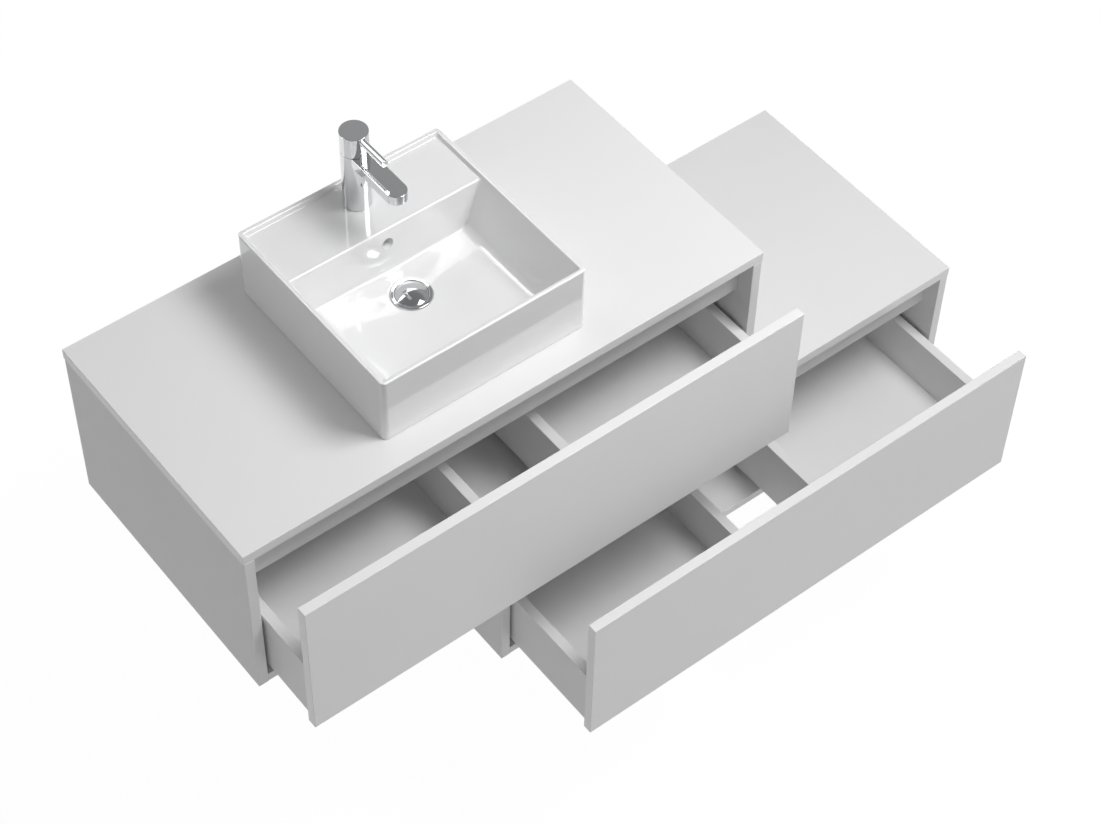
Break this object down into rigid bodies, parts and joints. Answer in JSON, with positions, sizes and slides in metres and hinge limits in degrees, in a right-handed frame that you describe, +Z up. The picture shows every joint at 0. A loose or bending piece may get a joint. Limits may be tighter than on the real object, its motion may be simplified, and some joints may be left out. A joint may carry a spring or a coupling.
{
  "type": "floating vanity",
  "caption": "Wall-hung vanity of staggered drawer modules with a square countertop basin, a single-lever tap, a push-open waste and a bottle trap",
  "frame": {"origin": "On the wall, at the middle of the upper module's wall fixing holes", "axes": "+X to the right along the wall, +Y back into the wall, +Z up"},
  "size_m": [1.325, 0.648, 0.8676],
  "materials": {
    "white_top_board": "white satin lacquered board",
    "white_carcass_board": "white satin faced board",
    "white_drawer_front": "white satin lacquered board",
    "white_drawer_board": "white satin faced board",
    "beech_dowel": "plain beech",
    "zinc_plated_steel": "bright zinc plate",
    "galvanised_runner_steel": "galvanised steel",
    "grey_plastic": "moulded grey plastic",
    "white_glazed_clay": "white gloss glaze",
    "chrome_waste": "polished chrome",
    "chrome_trap": "polished chrome",
    "chrome_tap": "polished chrome",
    "black_rubber": "black rubber",
    "brass_fitting": "turned brass",
    "white_cartridge_plastic": "moulded white plastic"
  },
  "bodies": {
    "vanity": {"basin": "white_glazed_clay", "waste_body": "chrome_waste", "waste_nut": "chrome_waste", "waste_gasket": "black_rubber", "trap_inlet": "chrome_trap", "trap_bottle": "chrome_trap", "trap_outlet": "chrome_trap", "tap_body": "chrome_tap", "tap_base_seal": "black_rubber", "tap_fixing_nut": "brass_fitting", "tap_aerator": "chrome_tap", "tap_cartridge": "white_cartridge_plastic", "module_spacers": "grey_plastic", "module_bolts": "zinc_plated_steel", "upper_top_board": "white_top_board", "upper_side_left": "white_carcass_board", "upper_side_right": "white_carcass_board", "upper_bottom_board": "white_carcass_board", "upper_front_rail": "white_carcass_board", "upper_rear_rails": "white_carcass_board", "upper_hangers": "zinc_plated_steel", "upper_wall_plates": "zinc_plated_steel", "upper_carcass_fittings": "zinc_plated_steel", "upper_cabinet_members": "galvanised_runner_steel", "upper_latch_housing": "grey_plastic", "lower_top_board": "white_top_board", "lower_side_left": "white_carcass_board", "lower_side_right": "white_carcass_board", "lower_bottom_board": "white_carcass_board", "lower_front_rail": "white_carcass_board", "lower_rear_rails": "white_carcass_board", "lower_hangers": "zinc_plated_steel", "lower_wall_plates": "zinc_plated_steel", "lower_carcass_fittings": "zinc_plated_steel", "lower_cabinet_members": "galvanised_runner_steel", "lower_latch_housing": "grey_plastic"},
    "upper_drawer": {"upper_drawer_members": "galvanised_runner_steel", "upper_drawer_front": "white_drawer_front", "upper_drawer_side_left": "white_drawer_board", "upper_drawer_side_right": "white_drawer_board", "upper_drawer_dividers": "white_drawer_board", "upper_drawer_backs": "white_drawer_board", "upper_drawer_floors": "white_drawer_board", "upper_drawer_dowels": "beech_dowel"},
    "upper_middle": {"upper_middle_members": "galvanised_runner_steel"},
    "upper_latch": {"upper_latch_plunger": "grey_plastic"},
    "lower_drawer": {"lower_drawer_members": "galvanised_runner_steel", "lower_drawer_front": "white_drawer_front", "lower_drawer_side_left": "white_drawer_board", "lower_drawer_side_right": "white_drawer_board", "lower_drawer_dividers": "white_drawer_board", "lower_drawer_backs": "white_drawer_board", "lower_drawer_floors": "white_drawer_board", "lower_drawer_dowels": "beech_dowel"},
    "lower_middle": {"lower_middle_members": "galvanised_runner_steel"},
    "lower_latch": {"lower_latch_plunger": "grey_plastic"},
    "tap_swivel": {"tap_stem": "brass_fitting"},
    "tap_handle": {"tap_cap": "chrome_tap", "tap_lever": "chrome_tap"},
    "plug": {"waste_plug": "chrome_waste"}
  },
  "joints": [
    {"name": "upper_drawer_slide", "type": "slide", "parent": "vanity", "child": "upper_drawer", "axis": [0, -1, 0], "range_m": [-0.113, 0.277]},
    {"name": "upper_middle_slide", "type": "slide", "parent": "vanity", "child": "upper_middle", "axis": [0, -1, 0], "range_m": [-0.0565, 0.1385]},
    {"name": "upper_latch_push", "type": "slide", "parent": "vanity", "child": "upper_latch", "axis": [0, -1, 0], "range_m": [0, 0.02]},
    {"name": "lower_drawer_slide", "type": "slide", "parent": "vanity", "child": "lower_drawer", "axis": [0, -1, 0], "range_m": [-0.198, 0.192]},
    {"name": "lower_middle_slide", "type": "slide", "parent": "vanity", "child": "lower_middle", "axis": [0, -1, 0], "range_m": [-0.099, 0.096]},
    {"name": "lower_latch_push", "type": "slide", "parent": "vanity", "child": "lower_latch", "axis": [0, -1, 0], "range_m": [0, 0.02]},
    {"name": "tap_temperature", "type": "hinge", "parent": "vanity", "child": "tap_swivel", "pos_m": [-0.01575, -0.1045, 0.3045], "axis": [0, 0, 1], "range_deg": [-45, 45]},
    {"name": "tap_flow", "type": "hinge", "parent": "tap_swivel", "child": "tap_handle", "pos_m": [-0.01575, -0.09, 0.3077], "axis": [-1, 0, 0], "range_deg": [0, 16]},
    {"name": "waste_plug_travel", "type": "slide", "parent": "vanity", "child": "plug", "axis": [0, 0, 1], "range_m": [0, 0.008]}
  ],
  "couplings": [
    {"joint": "upper_middle_slide", "follows": "upper_drawer_slide", "ratio": 0.5},
    {"joint": "lower_middle_slide", "follows": "lower_drawer_slide", "ratio": 0.5}
  ]
}
